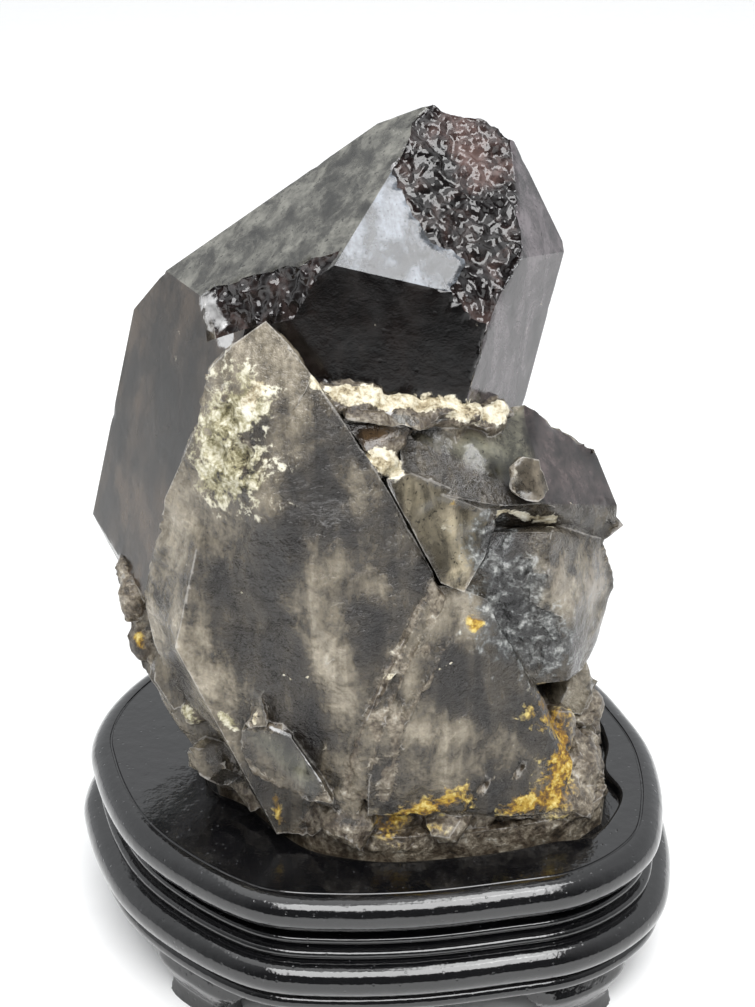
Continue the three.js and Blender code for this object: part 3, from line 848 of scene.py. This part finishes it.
def lacquer_material():
    shader = Shader("black_lacquer")
    wear = shader.noise(9, 3, 0.6)
    dust = shader.noise(0.9, 2, 0.5)
    colour = shader.mix(shader.step(dust, 0.68, 0.78), LACQUER_BLACK, LACQUER_DUST)
    roughness = shader.step(wear, 0.35, 0.75, 0.06, 0.16)
    peel = shader.noise(5, 3, 0.6)
    pits = shader.step(shader.cells(2.4), 0.06, 0.16)
    normal = shader.bump(peel, 0.5, 0.55)
    normal = shader.bump(pits, 0.4, 0.25, normal)
    return shader.finish(
        {
            "Base Color": colour,
            "Roughness": roughness,
            "IOR": LACQUER_IOR,
            "Normal": normal,
            "Coat Weight": COAT_WEIGHT,
            "Coat Roughness": COAT_ROUGHNESS,
        }
    )


# Stand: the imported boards' border and edge profiles, in finer steps
BORDER_POINTS = [
    (64.7, -8),
    (63.6, 3),
    (59.5, 15.5),
    (53.5, 28.5),
    (44, 39.5),
    (30, 48.5),
    (12, 53.3),
    (-8, 54),
    (-27, 51),
    (-43, 43.5),
    (-54, 33),
    (-60.5, 22.5),
    (-63.8, 13),
    (-64.7, 4),
    (-63, -4),
    (-59.3, -15),
    (-53.3, -27),
    (-45, -37),
    (-31, -48.3),
    (-22, -52.6),
    (-8, -54),
    (10, -53.3),
    (30, -50),
    (44, -46.7),
    (54, -40.5),
    (61, -32),
    (64, -20),
]
BORDER_STEPS = 360
STEPS_PER_POINT = 40
STAND_TOP = 45
UPPER_BOARD_UNDERSIDE = 36
LOWER_BOARD_UNDERSIDE = 14
WAIST_OFFSET = -1.6

# Round parts of the profiles: middle as offset from the border and height, then radius
GROOVE = ((-1.1, STAND_TOP), 0.35)
UPPER_EDGE = ((-0.4, 40.6), 4.4)
THIN_BEAD = ((0.1, 32.7), 0.9)
NARROW_ROLL = ((1.4, 29.8), 1.1)
WIDE_ROLL = ((2.6, 24.1), 4.3)
FOOT_MOULDING = ((3.2, 17.4), 1.9)
BRIM = ((0.7, STAND_TOP - 0.7), 0.7)
HOLLOW_CORNER = ((-0.5, HOLLOW_FLOOR + 0.5), 0.5)


def closed_curve(points, steps):
    """Even steps round a smooth curve through the points, and each step's outward direction."""
    here = np.array(points, dtype=float)
    before, after, beyond = (np.roll(here, shift, axis=0) for shift in (1, -1, -2))
    gap_before, gap, gap_after = (
        np.sqrt(np.linalg.norm(end - start, axis=1))[:, None]
        for start, end in ((before, here), (here, after), (after, beyond))
    )
    step = after - here
    leave = step + gap * ((here - before) / gap_before - (after - before) / (gap_before + gap))
    arrive = step + gap * ((beyond - after) / gap_after - (beyond - here) / (gap + gap_after))
    way = np.linspace(0, 1, STEPS_PER_POINT, endpoint=False)[None, :, None]
    rise = way**2 * (3 - 2 * way)
    fine = here[:, None] + step[:, None] * rise
    fine = fine + leave[:, None] * way * (1 - way) ** 2 - arrive[:, None] * way**2 * (1 - way)
    fine = fine.reshape(-1, 2)
    fine = np.vstack([fine, fine[:1]])
    reach = np.concatenate([[0], np.cumsum(np.linalg.norm(np.diff(fine, axis=0), axis=1))])
    even = np.linspace(0, reach[-1], steps, endpoint=False)
    places = np.stack([np.interp(even, reach, part) for part in fine.T], axis=1)
    along = np.roll(places, -1, axis=0) - np.roll(places, 1, axis=0)
    along /= np.linalg.norm(along, axis=1)[:, None]
    return places, np.stack([along[:, 1], -along[:, 0]], axis=1)


def arc(centre, radius, start, end, steps):
    """Round part of a profile, in offset and height."""
    angles = np.radians(np.linspace(start, end, steps + 1))
    return [(centre[0] + radius * math.cos(a), centre[1] + radius * math.sin(a)) for a in angles]


def join_rings(board, rings):
    for upper, lower in zip(rings, rings[1:]):
        for i, start in enumerate(upper):
            following = (i + 1) % len(upper)
            board.faces.new((start, lower[i], lower[following], upper[following]))


def add_rings(board, curve, rows):
    """A skin through rings that follow a curve, one ring for each row of the profile."""
    rings = []
    for offset, height in rows:
        flat = (curve[0] + curve[1] * offset) * MM
        rings.append([board.verts.new((x, y, height * MM)) for x, y in flat])
    join_rings(board, rings)
    return rings


def ring_edges(board, ring):
    pairs = zip(ring, ring[1:] + ring[:1])
    return [board.edges.get(pair) or board.edges.new(pair) for pair in pairs]


def finish_board(board, name, material, node):
    bmesh.ops.triangulate(board, faces=[face for face in board.faces if len(face.verts) > 4])
    bmesh.ops.recalc_face_normals(board, faces=board.faces)
    for edge in board.edges:
        edge.smooth = edge.calc_face_angle(0) < CRISP_ANGLE
    for face in board.faces:
        face.smooth = True
    mesh = bpy.data.meshes.new(name)
    board.to_mesh(mesh)
    board.free()
    return finished_piece(name, mesh, material, "lacquer", node)


def hollow_points():
    """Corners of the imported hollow's floor, in turn round the stand."""
    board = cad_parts["stand_top"].data
    floor = {
        (round(vert.co.x / MM, 2), round(vert.co.y / MM, 2))
        for vert in board.vertices
        if abs(vert.co.z / MM - HOLLOW_FLOOR) < 0.01
    }
    return sorted(floor, key=lambda corner: math.atan2(corner[1], corner[0]))


def build_top_board(material):
    board = bmesh.new()
    border = closed_curve(BORDER_POINTS, BORDER_STEPS)
    rows = arc(*GROOVE, 180, 360, 6) + arc(*UPPER_EDGE, 90, -75, 26)
    rows += [(WAIST_OFFSET, UPPER_BOARD_UNDERSIDE)]
    rings = add_rings(board, border, rows)
    board.faces.new(rings[-1])
    hollow = closed_curve(hollow_points(), BORDER_STEPS)
    walls = [(1.4, STAND_TOP)] + arc(*BRIM, 90, 180, 5) + arc(*HOLLOW_CORNER, 0, -90, 3)
    hollow_rings = add_rings(board, hollow, walls)
    board.faces.new(hollow_rings[-1])
    brims = ring_edges(board, rings[0]) + ring_edges(board, hollow_rings[0])
    bmesh.ops.triangle_fill(board, edges=brims, use_beauty=True)
    return finish_board(board, "top_board", material, "stand_top")


def build_lower_boards(material):
    board = bmesh.new()
    rows = [(WAIST_OFFSET, UPPER_BOARD_UNDERSIDE), (-1.45, 35.0), (-1.3, 34.2)]
    rows += arc(*THIN_BEAD, 100, -80, 10)
    rows += [(-0.2, 31.4)]
    rows += arc(*NARROW_ROLL, 90, -80, 10)
    rows += arc(*WIDE_ROLL, 84, -80, 26)
    rows += arc(*FOOT_MOULDING, 80, -80, 14)
    rows += [(2.8, LOWER_BOARD_UNDERSIDE + 0.7), (2, LOWER_BOARD_UNDERSIDE)]
    rings = add_rings(board, closed_curve(BORDER_POINTS, BORDER_STEPS), rows)
    board.faces.new(rings[0])
    board.faces.new(rings[-1])
    return finish_board(board, "lower_boards", material, "stand_base")


# Feet: levels of height, inner and outer offset and half-width, then places round the border
FOOT_LEVELS = [
    (14, -9, 0.5, 0.050),
    (9.5, -8, 2.6, 0.036),
    (4, -7, 0.6, 0.024),
    (0, -7.5, 1.4, 0.026),
]
FEET = {
    "foot_front_left": 0.64,
    "foot_front_right": 0.89,
    "foot_back_right": 0.14,
    "foot_back_left": 0.39,
}
FOOT_STEPS = 64
FOOT_RINGS = 24
FOOT_CORNER = 0.5
FOOT_INSET = 0.97


def build_foot(name, way, material):
    """A foot with rounded corners, drawn in towards the floor."""
    places, outward = closed_curve(BORDER_POINTS, BORDER_STEPS)
    heights = np.linspace(LOWER_BOARD_UNDERSIDE, 0, FOOT_RINGS)
    levels = np.array(FOOT_LEVELS[::-1])
    turn = np.linspace(0, 2 * math.pi, FOOT_STEPS, endpoint=False)
    across = np.sign(np.sin(turn)) * np.abs(np.sin(turn)) ** FOOT_CORNER
    around = np.sign(np.cos(turn)) * np.abs(np.cos(turn)) ** FOOT_CORNER
    foot = bmesh.new()
    rings = []
    for height in heights:
        inner, outer, half_width = (
            np.interp(height, levels[:, 0], levels[:, part]) for part in (1, 2, 3)
        )
        ring = []
        for side, reach in zip(around, across):
            step = round((way + side * half_width * FOOT_INSET) * BORDER_STEPS) % BORDER_STEPS
            offset = (inner + outer) / 2 + reach * (outer - inner) / 2 * FOOT_INSET
            x, y = (places[step] + outward[step] * offset) * MM
            ring.append(foot.verts.new((x, y, height * MM)))
        rings.append(ring)
    join_rings(foot, rings)
    foot.faces.new(rings[0])
    foot.faces.new(rings[-1])
    bmesh.ops.remove_doubles(foot, verts=foot.verts, dist=0.01 * MM)
    return finish_board(foot, "carved_" + name, material, name)


# Lights in metres: place, target, width, height and radiance
SOFTBOXES = {
    "key": ((0.26, -0.16, 1.05), (0, -0.02, 0.16), 0.34, 0.34, 7.5),
    "overhead": ((-0.2, 0.1, 1.1), (0, 0, 0.1), 1.1, 0.7, 1.0),
    "front": ((0.05, -0.52, 0.80), (0, -0.05, 0.06), 0.75, 0.50, 8.0),
}

# Room: its colour, and its strength by direction, from the camera's side to the far side
ROOM_COLOUR = (0.96, 0.98, 1.0, 1)
ROOM_DIRECTIONS = (-0.75, 0.1)
ROOM_STRENGTHS = (0.12, 1.0)

# Floor
FLOOR_HALF_SIZE = 3
FLOOR_STRIPS = 24
FLOOR_DARK = (0.90, 0.90, 0.90)
FLOOR_LIGHT = (0.95, 0.95, 0.945)


def add_softbox(name, place, target, width, height, radiance):
    data = bpy.data.lights.new(name, "AREA")
    data.shape = "RECTANGLE"
    data.size = width
    data.size_y = height
    data.energy = radiance * math.pi * width * height
    light = bpy.data.objects.new(name, data)
    light.location = place
    light.rotation_euler = (Vector(target) - Vector(place)).to_track_quat("-Z", "Y").to_euler()
    light.visible_camera = False
    bpy.context.scene.collection.objects.link(light)


def add_world():
    """A pale room that is darker on the camera's side."""
    world = bpy.data.worlds.new("room")
    world.use_nodes = True
    tree = world.node_tree
    tree.nodes.clear()
    direction = tree.nodes.new("ShaderNodeTexCoord")
    split = tree.nodes.new("ShaderNodeSeparateXYZ")
    shade = tree.nodes.new("ShaderNodeMapRange")
    shade.inputs["From Min"].default_value = ROOM_DIRECTIONS[0]
    shade.inputs["From Max"].default_value = ROOM_DIRECTIONS[1]
    shade.inputs["To Min"].default_value = ROOM_STRENGTHS[0]
    shade.inputs["To Max"].default_value = ROOM_STRENGTHS[1]
    background = tree.nodes.new("ShaderNodeBackground")
    background.inputs["Color"].default_value = ROOM_COLOUR
    output = tree.nodes.new("ShaderNodeOutputWorld")
    tree.links.new(direction.outputs["Generated"], split.inputs[0])
    tree.links.new(split.outputs["Y"], shade.inputs["Value"])
    tree.links.new(shade.outputs[0], background.inputs["Strength"])
    tree.links.new(background.outputs[0], output.inputs["Surface"])
    bpy.context.scene.world = world


def add_floor():
    shader = Shader("pale_paper")
    fibre = shader.noise(6, 4, 0.6)
    colour = shader.mix(fibre, FLOOR_DARK, FLOOR_LIGHT)
    normal = shader.bump(fibre, 0.1, 0.2)
    material = shader.finish({"Base Color": colour, "Roughness": 0.9, "Normal": normal})
    sheet = bmesh.new()
    bmesh.ops.create_grid(
        sheet, x_segments=FLOOR_STRIPS, y_segments=FLOOR_STRIPS, size=FLOOR_HALF_SIZE
    )
    mesh = bpy.data.meshes.new("floor")
    sheet.to_mesh(mesh)
    sheet.free()
    mesh.materials.append(material)
    floor = bpy.data.objects.new("floor", mesh)
    bpy.context.scene.collection.objects.link(floor)


add_camera()
add_world()
add_floor()
for light_name, light_values in SOFTBOXES.items():
    add_softbox(light_name, *light_values)
build_rock()
lacquer = lacquer_material()
build_top_board(lacquer)
build_lower_boards(lacquer)
for foot_name, foot_way in FEET.items():
    build_foot(foot_name, foot_way, lacquer)
bpy.context.scene.view_settings.view_transform = "Standard"
